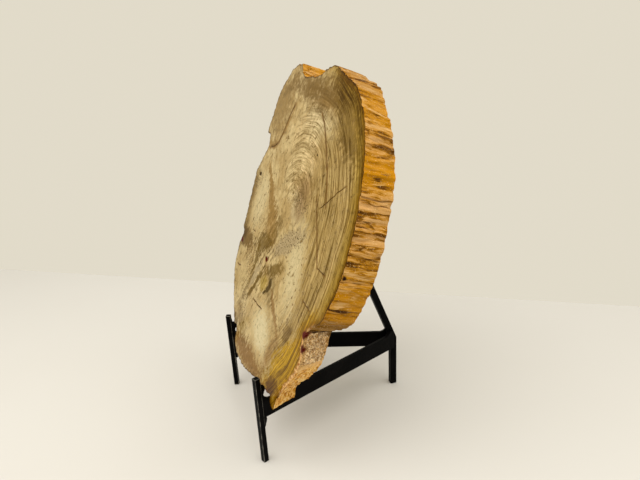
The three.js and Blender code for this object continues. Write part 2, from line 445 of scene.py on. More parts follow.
def build_slice():
    """The slice's mesh and the points of its edge."""
    edge, gaps = edge_grid()
    front_loop = edge[:COLUMNS][:, [0, 2]]
    rear_loop = edge[-COLUMNS:][:, [0, 2]]
    inner, sunk, front_faces = fill_face(front_loop, FACE_SPACING, cracked=True)
    rear_inner, _, rear_faces = fill_face(rear_loop, BACK_SPACING)
    front_points = np.insert(inner, 1, sunk[:, 0], 1)
    rear_points = np.insert(rear_inner, 1, THICKNESS, 1)
    points = np.concatenate([edge, front_points, rear_points])
    first_front = len(edge)
    first_rear = first_front + len(inner)

    def place(face, rim_start, inner_start):
        return [rim_start + v if v < COLUMNS else inner_start + v - COLUMNS for v in face]

    faces = [place(face, 0, first_front) for face in front_faces]
    faces += [place(face, first_front - COLUMNS, first_rear)[::-1] for face in rear_faces]
    for row in range(ROWS):
        a, b = row * COLUMNS, (row + 1) * COLUMNS
        for k in range(COLUMNS):
            on = (k + 1) % COLUMNS
            faces.append([a + k, b + k, b + on, a + on])
    kinds = [FACE_SLOT] * len(front_faces) + [BACK_SLOT] * len(rear_faces)
    kinds += [BARK_SLOT] * (ROWS * COLUMNS)

    mesh = new_mesh("petrified_slice", to_world(points).tolist(), faces)
    mesh.polygons.foreach_set("material_index", kinds)
    mesh.shade_smooth()
    mesh.validate()
    mesh.set_sharp_from_angle(angle=SHARP)

    flat = points[:, [0, 2]]
    stained = stain_at(flat)
    stained[:first_front] = 0
    insets = [distances(inner, front_loop[::2]), distances(rear_inner, rear_loop[::2])]
    add_layers(mesh, {
        "slab": points[:, [0, 2, 1]],
        "grown": np.column_stack([grown_from_heart(flat), points[:, 1]]),
        "inset": np.concatenate([np.zeros(first_front), *insets]),
        "sunken": np.concatenate([gaps, sunk[:, 1], np.zeros(len(rear_inner))]),
        "stain": stained,
    })
    return mesh, edge


def add_layers(mesh, layers):
    """Layers of one number or one vector for each point."""
    for name, values in layers.items():
        kind, key = ("FLOAT", "value") if values.ndim == 1 else ("FLOAT_VECTOR", "vector")
        made = mesh.attributes.new(name, kind, "POINT")
        made.data.foreach_set(key, values.astype(np.float32).ravel())


def new_mesh(name, points, faces):
    mesh = bpy.data.meshes.new(name)
    mesh.from_pydata(points, [], faces)
    return mesh


def new_object(name, data):
    made = bpy.data.objects.new(name, data)
    bpy.context.scene.collection.objects.link(made)
    return made


def add_piece(name, mesh, replaced=()):
    """A piece at the origin that rides with the whole object."""
    piece = new_object(name, mesh)
    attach(piece, "root")
    if replaced:
        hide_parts(*replaced)
    return piece


# Materials
def rgb(red, green, blue):
    """A display colour, 0 to 255 a channel, as the linear value that a shader takes."""
    def linear(c):
        c /= 255
        return c / 12.92 if c <= 0.04045 else ((c + 0.055) / 1.055) ** 2.4
    return (linear(red), linear(green), linear(blue), 1)


class Graph:
    """The nodes of a material or a world, made by calls that take sockets or plain values."""

    def __init__(self, owner):
        owner.use_nodes = True
        self.owner = owner
        self.tree = owner.node_tree

    def node(self, kind, inputs=(), **settings):
        made = self.tree.nodes.new(kind)
        for key, value in settings.items():
            setattr(made, key, value)
        for socket, value in dict(inputs).items():
            self.feed(made.inputs[socket], value)
        return made

    def feed(self, socket, value):
        if isinstance(value, bpy.types.NodeSocket):
            self.tree.links.new(value, socket)
        else:
            socket.default_value = value

    def math(self, operation, first, second):
        return self.node("ShaderNodeMath", {0: first, 1: second}, operation=operation).outputs[0]

    def add(self, first, second):
        return self.math("ADD", first, second)

    def times(self, first, second):
        return self.math("MULTIPLY", first, second)

    def either(self, first, second):
        return self.math("MAXIMUM", first, second)

    def without(self, mask):
        return self.math("SUBTRACT", 1.0, mask)

    def swing(self, pattern, reach):
        """The pattern about 0, times the reach."""
        return self.times(self.math("SUBTRACT", pattern, 0.5), reach)

    def ease(self, value, low, high, start=0.0, end=1.0):
        """Start below low and end above high, or the other way round if low is the larger."""
        inputs = {0: value, 1: low, 2: high, 3: start, 4: end}
        return self.node("ShaderNodeMapRange", inputs, interpolation_type="SMOOTHSTEP").outputs[0]

    def mix(self, factor, first, second, way="MIX"):
        inputs = {0: factor, 6: first, 7: second}
        return self.node("ShaderNodeMix", inputs, data_type="RGBA", blend_type=way).outputs[2]

    def value(self, name, output="Fac"):
        return self.node("ShaderNodeAttribute", attribute_name=name).outputs[output]

    def vector(self, name):
        return self.value(name, "Vector")

    def place(self):
        """In the object's own axes, in metres."""
        return self.node("ShaderNodeTexCoord").outputs["Object"]

    def vectors(self, operation, *values):
        return self.node("ShaderNodeVectorMath", dict(enumerate(values)), operation=operation).outputs

    def stretch(self, vector, scale):
        return self.vectors("MULTIPLY", vector, scale)[0]

    def grain(self, vector, size, detail=3.0, roughness=0.55):
        """Noise with features of about that size."""
        inputs = {"Vector": vector, "Scale": 1 / size, "Detail": detail, "Roughness": roughness}
        return self.node("ShaderNodeTexNoise", inputs).outputs["Fac"]

    def axis(self, vector, index):
        return self.node("ShaderNodeSeparateXYZ", {0: vector}).outputs[index]

    def turned(self, vector, degrees, scale):
        """The vector turned clockwise about the third axis by that much, then scaled."""
        turn = {"Vector": vector, "Rotation": (0, 0, math.radians(-degrees))}
        return self.stretch(self.node("ShaderNodeMapping", turn).outputs[0], scale)

    def warp(self, vector, size, reach, detail=2.0):
        """The vector pushed about by noise, across and up."""
        made = self.node("ShaderNodeTexNoise", {"Vector": vector, "Scale": 1 / size, "Detail": detail})
        centred = self.vectors("SUBTRACT", made.outputs["Color"], (0.5, 0.5, 0.5))[0]
        return self.vectors("MULTIPLY_ADD", centred, (reach, reach, 0), vector)[0]

    def tint(self, factor, colour, times):
        """The colour multiplied by another, as far as the factor says."""
        return self.mix(factor, colour, times, "MULTIPLY")

    def streaked(self, colour, where, pattern, dark, pale):
        """Darker and paler lines along a pattern: where each starts, where it is full, its share."""
        for (start, full, share), times in ((dark, DARKER), (pale, PALER)):
            amount = self.times(where, self.times(self.ease(pattern, start, full), share))
            colour = self.tint(amount, colour, times)
        return colour

    def spot(self, vector, centre, radii, turn=0.0, soft=0.35):
        """1 inside an ellipse on the face, 0 outside. turn is in degrees, counterclockwise."""
        made = self.node("ShaderNodeMapping", {
            "Vector": vector,
            "Location": (*centre, 0),
            "Rotation": (0, 0, math.radians(turn)),
            "Scale": (*radii, 1000),
        }, vector_type="TEXTURE")
        return self.ease(self.vectors("LENGTH", made.outputs[0])["Value"], 1 + soft, 1 - soft)

    def spots(self, vector, shapes, soft, least=0.0):
        """The highest of several spots."""
        mask = least
        for shape in shapes:
            mask = self.either(mask, self.spot(vector, *shape, soft=soft))
        return mask

    def ramp(self, value, stops):
        made = self.node("ShaderNodeValToRGB", {0: value})
        elements = made.color_ramp.elements
        elements[0].position, elements[0].color = stops[0]
        elements[1].position, elements[1].color = stops[-1]
        for position, colour in stops[1:-1]:
            elements.new(position).color = colour
        return made.outputs[0]

    def bump(self, height, distance, strength):
        inputs = {"Height": height, "Distance": distance, "Strength": strength}
        return self.node("ShaderNodeBump", inputs).outputs[0]

    def finish(self, colour, roughness, normal=None, shine=0.5, coat=0.0):
        shader = self.tree.nodes["Principled BSDF"].inputs
        self.feed(shader["Base Color"], colour)
        self.feed(shader["Roughness"], roughness)
        if normal is not None:
            self.feed(shader["Normal"], normal)
        shader["Specular IOR Level"].default_value = shine
        shader["Coat Weight"].default_value = coat
        return self.owner


def new_material(name):
    return Graph(bpy.data.materials.new(name))


# Colours of the face
TAN = rgb(182, 155, 102)
CREAM = rgb(202, 179, 128)
DUST = rgb(146, 118, 66)
OLIVE_GREY = rgb(166, 139, 82)
CLOUD = rgb(116, 88, 38)
OLIVE = rgb(106, 80, 18)
OLIVE_GOLD = rgb(172, 134, 26)
HONEY = rgb(120, 84, 8)
RIM_BROWN = rgb(60, 34, 12)
LILAC = rgb(176, 156, 116)
LILAC_DARK = rgb(84, 66, 40)
MAUVE = rgb(146, 118, 76)
IVORY = rgb(212, 198, 156)
KNOT_YELLOW = rgb(166, 140, 60)
KNOT_DARK = rgb(68, 50, 12)
CRACK = rgb(52, 32, 10)
CLAY = rgb(130, 92, 34)
BLOOD = rgb(84, 16, 6)
SAW_DUST = rgb(190, 172, 138)
STREAK = rgb(150, 118, 62)
STREAK_DARK = rgb(116, 82, 34)

# What a dark or a pale line leaves of the colour under it
DARKER = (0.42, 0.35, 0.2, 1)
PALER = (1.34, 1.36, 1.5, 1)
# What the rim's narrow olive shore and the broad band behind it leave of it
SHORE = (0.6, 0.46, 0.06, 1)
BAND = (0.8, 0.72, 0.28, 1)

# Patches of colour on the face: centre, radii, turn in degrees, softness, colour and strength
FACE_PATCHES = [
    (-78, 140, 24, 32, 0, 0.6, CREAM, 0.8),
    (-78, 236, 32, 26, 40, 0.8, DUST, 0.9),
    (46, 105, 19, 44, 8, 0.6, CREAM, 0.9),
    (44, 108, 14, 36, 8, 0.8, IVORY, 0.6),
    (-76, 140, 16, 26, 0, 0.8, IVORY, 0.5),
    (18, 226, 32, 12, 0, 0.9, IVORY, 0.5),
    (-5, 205, 34, 24, 0, 0.7, CREAM, 0.6),
    (24, 248, 54, 13, -4, 0.95, CLOUD, 0.9),
    (52, 263, 26, 10, 0, 0.8, CLOUD, 0.8),
    (72, 234, 44, 15, -46, 0.5, OLIVE, 0.6),
    (-64, 258, 20, 6, 28, 0.8, CLOUD, 0.6),
    (-20, 257, 42, 8, 0, 0.95, CLOUD, 0.75),
    (-50, 222, 2.5, 22, -30, 0.6, STREAK, 0.8),
    (-80, 197, 20, 5, 12, 0.5, STREAK, 0.8),
    (-60, 163, 22, 4.5, -46, 0.3, STREAK, 0.9),
    (-44, 145, 24, 8, -50, 0.3, STREAK, 0.85),
    (-29, 127, 24, 13, -52, 0.35, STREAK, 0.85),
    (-16, 122, 26, 8, 62, 0.5, OLIVE, 0.45),
    (22, 174, 26, 11, 0, 0.6, DUST, 0.7),
    (20, 152, 18, 12, -30, 0.5, LILAC, 0.7),
    (27, 163, 12, 18, 0, 0.7, MAUVE, 0.7),
    (18, 122, 36, 9, 30, 0.4, LILAC, 0.95),
    (-42, 74, 20, 6, 58, 0.3, LILAC, 0.95),
    (-40, 106, 22, 10, 20, 0.4, OLIVE, 0.8),
    (-50, 88, 5, 18, 0, 0.4, OLIVE, 0.8),
    (-38, 64, 28, 3.5, 56, 0.4, OLIVE, 0.9),
    (-58, 56, 22, 3.5, 70, 0.4, OLIVE, 0.7),
    (2, 92, 24, 6, 22, 0.5, OLIVE, 0.75),
    (-15, 74, 11, 7, 20, 0.5, KNOT_YELLOW, 0.8),
    (8, 74, 8, 16, 10, 0.6, OLIVE, 0.5),
    (-76, 60, 20, 14, -20, 0.5, CREAM, 0.7),
    (-2, 38, 28, 19, -12, 0.6, CREAM, 0.9),
    (6, 36, 21, 16, -20, 0.6, IVORY, 0.95),
    (27, 61, 26, 3, -37, 0.5, CLAY, 0.7),
    (38, 30, 7, 26, -25, 0.6, CLAY, 0.6),
    (-15, 2, 50, 11, -2, 0.6, CLAY, 0.9),
    (-50, 22, 30, 8, -30, 0.5, OLIVE, 0.4),
    (72, 30, 21, 38, -38, 0.25, OLIVE_GOLD, 1.0),
    (93, 70, 10, 26, -22, 0.4, OLIVE_GOLD, 0.8),
    (62, 59, 6, 9, -30, 0.6, CLOUD, 0.7),
    (59, 10, 12, 7, 20, 0.4, HONEY, 1.0),
    (-92, 97, 24, 10, -8, 0.4, CLOUD, 0.9),
    (-80, 16, 14, 6, 0, 0.4, OLIVE, 0.9),
]
BROKEN_RIM = (92, 48)
CRUMB_STOPS = [(0.36, rgb(150, 84, 26)), (0.58, rgb(226, 184, 120))]
# Speckled zones: centre, radii and turn in degrees
SPECKLED = [
    ((-66, 86), (14, 24), 10),
    ((22, 124), (32, 9), 26),
    ((24, 160), (20, 9), -18),
    ((-58, 42), (8, 24), 6),
    ((-98, 158), (10, 9), 0),
]
# Red spots: centre and radii
RED_PITS = [
    ((-22.5, 95), (3.2, 2.6)),
    ((-107.5, 91), (4.2, 2.8)),
    ((51, 0), (3, 2)),
    ((-80, 13), (3, 2.2)),
    ((94, 71.4), (5, 3.6)),
    ((96, 61.5), (3.4, 3.4)),
]
# The head, middle and tail of a dark comma: centre, radii and turn in degrees
CRESCENT = [
    ((1.5, 79), (3.8, 5.6), 12),
    ((-1.5, 73), (5.6, 3.2), 42),
    ((-8, 67.5), (5.0, 1.3), 32),
]
# Sizes of the rings' lines, in mm
BROAD_RING = 8.0
FINE_RING = 2.3
THREAD_RING = 0.9


def face_layers(g):
    """What the layers of the face's colour share: places, masks and patterns."""
    flat = g.stretch(g.vector("slab"), (1, 1, 0))
    loose = g.warp(flat, 15, 8, 6.0)
    across = g.axis(loose, 0)
    sway = g.add(g.times(g.grain(flat, 50, 1.0), 9.0), g.times(g.grain(flat, 11), 1.3))
    shift = g.node("ShaderNodeCombineXYZ", {0: sway}).outputs[0]
    grown = g.vectors("ADD", g.vector("grown"), shift)[0]
    right = g.ease(across, 22, 62)
    return SimpleNamespace(
        flat=flat,
        loose=loose,
        inset=g.value("inset"),
        right=right,
        on_right=g.ease(across, 0, 50),
        top_arcs=g.times(g.spot(flat, (22, 200), (46, 48), 0, 0.35), g.without(right)),
        broad=g.grain(g.stretch(grown, (1, 0.05, 0)), BROAD_RING),
        fine=g.grain(g.stretch(grown, (1, 0.045, 0)), FINE_RING, 4.0),
        thread=g.grain(g.stretch(grown, (1, 0.03, 0)), THREAD_RING),
        streaks=g.grain(g.turned(loose, 22, (1, 0.14, 1)), 3.6, 6.0, 0.65),
        mottle=g.grain(loose, 5, 7.0, 0.7),
        smears=g.grain(g.turned(g.warp(flat, 9, 6, 3.0), -32, (1, 0.16, 1)), 2.6, 6.0, 0.65),
    )


def ground(g, face):
    """Tan and cream, olive grey on the right, with streaks up the face."""
    base = g.mix(g.ease(g.grain(face.loose, 26, 5.0), 0.42, 0.58), TAN, CREAM)
    base = g.mix(g.times(face.right, 0.85), base, OLIVE_GREY)
    return g.streaked(base, 1.0, face.streaks, dark=(0.5, 0.68, 0.5), pale=(0.46, 0.3, 0.5))


def patched(g, face, base):
    """The large patches, with ragged borders, and the smears of the lower left quarter."""
    ragged = g.add(g.swing(face.mottle, 1.9), g.swing(face.smears, 1.5))
    for x, y, wide, tall, turn, soft, colour, share in FACE_PATCHES:
        spot = g.add(g.spot(face.loose, (x, y), (wide, tall), turn, 0.8), ragged)
        mask = g.ease(spot, 0.45 - soft / 2, 0.6 + soft / 2)
        base = g.mix(g.times(mask, share), base, colour)
    smeared = g.spot(face.loose, (-42, 84), (52, 56), 0, 0.4)
    return g.streaked(base, smeared, face.smears, dark=(0.51, 0.64, 0.75), pale=(0.46, 0.34, 0.7))


def ringed(g, face, base):
    """Growth rings: broad arcs at the top, and fine lines there and on the right."""
    base = g.streaked(base, face.top_arcs, face.broad, dark=(0.47, 0.4, 0.4), pale=(0.5, 0.58, 0.6))
    drawn = g.add(0.08, g.either(g.times(face.right, 0.92), g.times(face.top_arcs, 0.65)))
    creamy = g.spot(face.loose, (44, 108), (22, 44), 8, 0.5)
    drawn = g.times(drawn, g.without(g.times(creamy, 0.8)))
    base = g.streaked(base, drawn, face.fine, dark=(0.51, 0.62, 0.8), pale=(0.47, 0.38, 0.9))
    return g.streaked(base, drawn, face.thread, dark=(0.52, 0.6, 0.8), pale=(0.45, 0.36, 0.5))


def banded(g, face, base):
    """The olive band inside the right rim, and the dark one inside the left."""
    band = g.times(g.ease(g.add(face.inset, g.times(face.broad, 16.0)), 28, 12), face.on_right)
    base = g.tint(g.times(band, 0.85), base, BAND)
    shore = g.times(g.ease(g.add(face.inset, g.times(face.fine, 7.0)), 9.5, 5.5), face.on_right)
    base = g.tint(g.times(shore, 0.85), base, SHORE)
    on_left = g.spot(face.flat, (-116, 126), (36, 44), 0, 0.25)
    left_band = g.times(g.ease(g.add(face.inset, g.times(face.streaks, 18.0)), 26, 14), on_left)
    return g.tint(g.times(left_band, 0.85), base, DARKER)


def rimmed(g, face, base):
    """A brown line along the rim, and crumbs where it is broken beside the pocket."""
    rim_line = g.ease(g.add(face.inset, g.times(g.grain(face.flat, 3.5), 2.8)), 3.2, 1.6)
    base = g.mix(g.times(rim_line, 0.8), base, RIM_BROWN)
    reach = g.ease(g.add(face.inset, g.times(g.grain(face.flat, 3.5), 7.0)), 7.5, 5.0)
    crumbs = g.times(reach, g.spot(face.flat, BROKEN_RIM, (13, 36), -24, 0.2))
    return g.mix(crumbs, base, g.ramp(g.grain(face.flat, 2.2), CRUMB_STOPS))


def face_colour(g):
    """Colour of the sawn face, with the shared layers that its relief follows."""
    face = face_layers(g)
    base = ringed(g, face, patched(g, face, ground(g, face)))
    speck = g.ease(g.grain(face.flat, 1.7), 0.55, 0.62)
    for centre, radii, turn in SPECKLED:
        base = g.mix(g.times(speck, g.spot(face.loose, centre, radii, turn, 0.4)), base, LILAC_DARK)
    base = banded(g, face, base)
    base = g.streaked(base, 1.0, face.mottle, dark=(0.52, 0.68, 0.55), pale=(0.46, 0.3, 0.6))
    dots = g.ease(g.grain(face.flat, 1.0, 2.0), 0.68, 0.74)
    base = rimmed(g, face, g.tint(g.times(dots, 0.4), base, DARKER))
    stained = g.ease(g.add(g.value("stain"), g.times(face.mottle, 0.3)), 0.25, 0.95)
    base = g.mix(g.times(stained, 0.75), base, STREAK_DARK)
    base = g.mix(g.times(g.ease(g.value("sunken"), 0.05, 0.6), 0.95), base, CRACK)
    for centre, radii in RED_PITS:
        base = g.mix(g.spot(face.flat, centre, radii, 0, 0.3), base, BLOOD)
    return base, face


def polished_face():
    g = new_material("polished_face")
    colour, face = face_colour(g)
    crescent = g.spots(g.warp(face.flat, 5, 2.0), CRESCENT, 0.3)
    colour = g.mix(g.times(crescent, 0.9), colour, KNOT_DARK)
    tooth = g.grain(face.flat, 2.2, 4.0)
    roughness = g.add(0.12, g.times(tooth, 0.12))
    normal = g.bump(g.add(g.times(face.fine, 0.5), g.times(tooth, 0.5)), 0.00012, 0.5)
    return g.finish(colour, roughness, normal, shine=0.04)


def sawn_back():
    """The face's colours, paler, with the arcs of the saw."""
    g = new_material("sawn_back")
    colour, face = face_colour(g)
    colour = g.mix(0.35, colour, SAW_DUST)
    arcs = g.node("ShaderNodeTexWave", {
        "Vector": g.vector("slab"), "Scale": 0.16, "Distortion": 0.6, "Detail": 1.0,
    }, wave_type="RINGS", rings_direction="Z").outputs["Fac"]
    tooth = g.grain(face.flat, 0.9, 4.0)
    normal = g.bump(g.add(g.times(arcs, 0.4), tooth), 0.0002, 0.6)
    return g.finish(colour, 0.62, normal)


# Colours of the edge, from its grooves to its ridges
BARK_STOPS = [
    (0.30, rgb(66, 36, 6)),
    (0.39, rgb(118, 74, 10)),
    (0.47, rgb(170, 116, 12)),
    (0.54, rgb(184, 134, 52)),
    (0.66, rgb(208, 168, 108)),
]
AMBER_GLOW = rgb(186, 126, 4)
BARK_TAN = rgb(196, 150, 92)
BARK_BROWN = rgb(156, 114, 62)
GROOVE = rgb(100, 60, 10)
SEAM = rgb(74, 40, 8)
# Painted shade for the underside of the ledge above the pocket
LEDGE_PAINTED_SHADE = rgb(104, 72, 14)
# Painted shade for holes that the mesh does not cut
HOLE_SHADE = rgb(34, 16, 8)
FLECK = rgb(240, 206, 150)
LUMP_STOPS = [
    (0.36, rgb(120, 60, 10)),
    (0.44, rgb(204, 136, 36)),
    (0.52, rgb(236, 184, 88)),
    (0.62, rgb(250, 222, 160)),
]
DRUSE_STOPS = [(0.35, rgb(112, 76, 34)), (0.6, rgb(222, 180, 118))]
LIP_PALE = rgb(226, 186, 126)
# Painted shade on the lip's upper side, under the ledge
LIP_PAINTED_SHADE = rgb(46, 28, 8)
# Zones of the edge: centre and radii on the face
AMBER_ZONES = [
    ((86, 246), (18, 17)), ((119, 106), (14, 22)), ((115, 202), (12, 12)), ((-20, 276), (30, 20)),
]
TAN_ZONES = [
    ((125, 158), (11, 14)), ((123, 180), (11, 9)), ((107, 221), (13, 13)), ((84, 34), (12, 20)),
]
BROWN_ZONES = [((46, 268), (44, 13)), ((106, 88), (11, 9))]
# Painted shade darkens this underside of the ledge
LEDGE = (107, 82)  # shaded underside above the pocket
BLOCK = 5.5        # mm, height of a block of the bark between two seams
# Holes in the edge, painted as dark spots of shade: across, up and depth behind the face, then radius
PITTED = [
    ((124.6, 128, 2), 1.8),
    ((93, 76, 8), 3.2),
    ((91, 75.6, 16), 3.2),
    ((101, 84, 6), 2.0),
    ((120, 122, 18), 1.4),
]


def bark_layers(g):
    """What the layers of the edge's colour share: places, masks and patterns."""
    slab = g.vector("slab")
    flat = g.stretch(slab, (1, 1, 0))
    bent = g.warp(slab, 13, 3.5)
    return SimpleNamespace(
        slab=slab,
        flat=flat,
        stripes=g.grain(g.stretch(bent, (1, 1, 0.07)), 3.0),
        fibres=g.grain(g.stretch(bent, (1, 1, 0.08)), 0.8, 4.0),
        patches=g.grain(g.stretch(slab, (1, 1, 0.35)), 8, 4.0),
        cells=g.stretch(bent, (1, 1, 0.075)),
        lumpy=g.spot(flat, TIP, (34, 34), 0, 0.3),
        pocket=g.spot(flat, POCKET, (14, 14), 0, 0.25),
    )


def bark_tone(g, edge):
    """How dark the fibres, blocks and patches are, about 0.3 to 0.7."""
    tone = g.add(g.times(edge.stripes, 0.65), g.times(edge.fibres, 0.35))
    blotches = g.grain(edge.slab, 4.5, 4.0)
    tone = g.add(g.times(tone, g.without(edge.lumpy)), g.times(blotches, edge.lumpy))
    tone = g.add(tone, g.swing(edge.patches, 0.6))
    block = g.node("ShaderNodeTexVoronoi", {"Vector": edge.cells, "Scale": 1 / BLOCK}).outputs["Color"]
    block_tone = g.node("ShaderNodeSeparateColor", {0: block}).outputs[0]
    tone = g.add(tone, g.times(g.swing(block_tone, 0.2), g.without(edge.lumpy)))
    return g.add(0.5, g.swing(tone, 1.3))


def fibrous_bark(g, edge):
    """Tan, brown and glowing amber zones, and how far the amber glows."""
    tone = bark_tone(g, edge)
    colour = g.ramp(tone, BARK_STOPS)
    in_stripe = g.ease(tone, 0.42, 0.56)
    for zones, zone_colour in ((TAN_ZONES, BARK_TAN), (BROWN_ZONES, BARK_BROWN)):
        for centre, radii in zones:
            zone = g.times(g.spot(edge.flat, centre, radii, 0, 0.5), in_stripe)
            colour = g.mix(g.times(zone, 0.7), colour, zone_colour)
    amber = g.spots(edge.flat, AMBER_ZONES, 0.5, least=0.12)
    glow = g.times(amber, g.ease(g.grain(g.stretch(edge.slab, (1, 1, 0.3)), 6, 4.0), 0.36, 0.5))
    colour = g.mix(g.times(glow, 0.85), colour, AMBER_GLOW)
    return g.mix(g.times(g.ease(edge.stripes, 0.44, 0.34), 0.4), colour, GROOVE), glow


def seamed(g, edge, colour):
    """Dark seams between the blocks, and darker gaps."""
    seam = g.node("ShaderNodeTexVoronoi", {"Vector": edge.cells, "Scale": 1 / BLOCK},
                  feature="DISTANCE_TO_EDGE").outputs["Distance"]
    some = g.times(g.ease(edge.patches, 0.46, 0.6), g.without(edge.lumpy))
    seam = g.times(g.ease(seam, 0.045, 0.012), some)
    gap = g.ease(g.value("sunken"), 0.3, 0.95)
    return g.mix(g.either(g.times(seam, 0.28), g.times(gap, 0.48)), colour, SEAM)


def pocketed(g, edge, colour):
    """The crystal pocket, its lip, pale below and darkened above by painted shade under the ledge, and
    flecks all over the edge.
    """
    colour = g.mix(edge.pocket, colour, g.ramp(g.grain(edge.slab, 1.1), DRUSE_STOPS))
    around = g.spot(g.warp(edge.flat, 4, 3), POCKET, (18, 18), 0, 0.12)
    lip = g.ease(g.math("SUBTRACT", around, edge.pocket), 0.3, 0.8)
    # Painted shade on the upper part of the lip, under the ledge's overhang
    shade_above = g.ease(g.axis(edge.slab, 1), 64, 70)
    colour = g.mix(g.times(lip, 0.7), colour, g.mix(shade_above, LIP_PALE, LIP_PAINTED_SHADE))
    fleck = g.ease(g.grain(edge.slab, 0.8, 2.0), 0.63, 0.69)
    return g.mix(g.times(fleck, 0.6), colour, FLECK)


def bark():
    g = new_material("bark")
    edge = bark_layers(g)
    colour, glow = fibrous_bark(g, edge)
    nodules = g.ramp(g.grain(edge.slab, 3.2, 5.0, 0.65), LUMP_STOPS)
    colour = g.mix(g.times(edge.lumpy, 0.8), colour, nodules)
    # Painted shade under the ledge
    colour = g.mix(g.times(g.spot(edge.flat, LEDGE, (15, 8), 35, 0.4), 0.6), colour, LEDGE_PAINTED_SHADE)
    colour = pocketed(g, edge, seamed(g, edge, colour))
    beside_face = g.ease(g.axis(edge.slab, 2), 6, 3)
    for centre, radii in RED_PITS:
        colour = g.mix(g.times(beside_face, g.spot(edge.flat, centre, radii, 0, 0.3)), colour, BLOOD)
    # Painted shade where the holes are, as dark spots on the surface
    for centre, radius in PITTED:
        away = g.vectors("DISTANCE", edge.slab, centre)["Value"]
        colour = g.mix(g.ease(away, radius * 1.2, radius * 0.6), colour, HOLE_SHADE)
    roughness = g.math("SUBTRACT", 0.42, g.times(glow, 0.24))
    tooth = g.add(edge.fibres, g.times(g.grain(edge.slab, 0.7), 0.6))
    return g.finish(colour, roughness, g.bump(tooth, 0.0006, 0.8), shine=0.05)


# Colours of the iron, and the sizes of its dents and dust in metres
PAINT = rgb(3, 3, 3)
PAINT_WORN = rgb(9, 8, 8)
# Painted highlight for the bevelled edges of the iron, plain and brighter
EDGE_HIGHLIGHT = rgb(34, 33, 30)
EDGE_HIGHLIGHT_BRIGHT = rgb(112, 110, 102)
DENT = 0.004
DUST_GRAIN = 0.0012


def black_iron():
    g = new_material("black_iron_paint")
    place = g.place()
    dents = g.grain(place, DENT)
    dust = g.grain(place, DUST_GRAIN)
    colour = g.mix(g.ease(g.grain(place, 0.02), 0.4, 0.7), PAINT, PAINT_WORN)
    roughness = g.add(0.32, g.times(dust, 0.2))
    normal = g.bump(g.add(dents, g.times(dust, 0.25)), 0.0004, 0.5)
    return g.finish(colour, roughness, normal, shine=0.03)


def highlit_edge_iron():
    # A painted highlight for the iron's bevelled edges, brighter in patches
    g = new_material("highlit_edge_paint")
    place = g.place()
    highlight_patches = g.ease(g.grain(place, 0.006), 0.4, 0.6)
    return g.finish(g.mix(highlight_patches, EDGE_HIGHLIGHT, EDGE_HIGHLIGHT_BRIGHT), 0.35, shine=0.3)


CRYSTAL_STOPS = [(0.35, rgb(142, 104, 54)), (0.6, rgb(244, 216, 166))]


def crystal_stone():
    g = new_material("quartz_crust")
    place = g.place()
    colour = g.ramp(g.grain(place, 0.0025, 2.0), CRYSTAL_STOPS)
    return g.finish(colour, 0.12, coat=0.4)


# Crystals in the pocket, in mm
CRYSTALS = 620
CRYSTAL_SIDES = 6
CRYSTAL_RADII = (0.28, 0.62)
CRYSTAL_HEIGHTS = (0.9, 1.8)  # times the radius
ROOT = 0.6                    # depth below the surface
LEAST_POCKET = 0.45           # how much of the pocket a column of the edge is in, to grow crystals


def add_crystal(points, faces, at, direction, side, radius, height):
    """A six-sided prism with a pointed end."""
    other = np.cross(direction, side)
    first = len(points)
    shoulder = height * 0.55
    for level in (-ROOT, shoulder):
        for s in range(CRYSTAL_SIDES):
            turn = 2 * math.pi * s / CRYSTAL_SIDES
            around = math.cos(turn) * side + math.sin(turn) * other
            points.append(at + direction * level + radius * around)
    points.append(at + direction * (shoulder + radius * 0.9))
    top = first + CRYSTAL_SIDES
    tip = top + CRYSTAL_SIDES
    for s in range(CRYSTAL_SIDES):
        on = (s + 1) % CRYSTAL_SIDES
        faces.append([first + s, first + on, top + on, top + s])
        faces.append([top + s, top + on, tip])
    faces.append([first + s for s in reversed(range(CRYSTAL_SIDES))])


def build_crystals(edge):
    rng = np.random.default_rng(11)
    grid = edge.reshape(ROWS + 1, COLUMNS, 3)
    columns = [k for k in range(COLUMNS) if near(FRONT_RIM[k], POCKET, POCKET_RADIUS) > LEAST_POCKET]
    points, faces = [], []
    for _ in range(CRYSTALS):
        k = int(rng.choice(columns))
        row = rng.uniform(3.4, ROWS - 1.5)
        low = int(row)
        at = grid[low, k] * (1 - row + low) + grid[low + 1, k] * (row - low)
        out = -INWARD[k]
        direction = np.array([out[0], 0, out[1]]) + rng.normal(0, 0.45, 3)
        direction /= np.linalg.norm(direction)
        side = np.cross(direction, rng.normal(0, 1, 3))
        side /= np.linalg.norm(side)
        radius = rng.uniform(*CRYSTAL_RADII)
        height = radius * rng.uniform(*CRYSTAL_HEIGHTS)
        add_crystal(points, faces, at, direction, side, radius, height)
    return new_mesh("quartz_crust", to_world(points).tolist(), faces)


# The posts are turned into line with their rails
POSTS = {"front_post_left": "turned_post_left", "front_post_right": "turned_post_right"}
# Welds where a rail joins its post: out from the post's middle, down from its top, and radii, in mm
WELDS = [
    (1.6, 7.0, (1.9, 1.9, 3.4)),
    (3.0, 14.0, (1.8, 2.9, 6.0)),
    (3.8, 11.5, (1.8, 3.2, 4.2)),
    (3.2, 41.0, (2.0, 2.6, 7.5)),
]
WELD_LUMPS = 0.3  # share of the radius
# Width of the bevels that carry the painted highlight
HIGHLIT_EDGE_WIDTH = 0.35  # mm


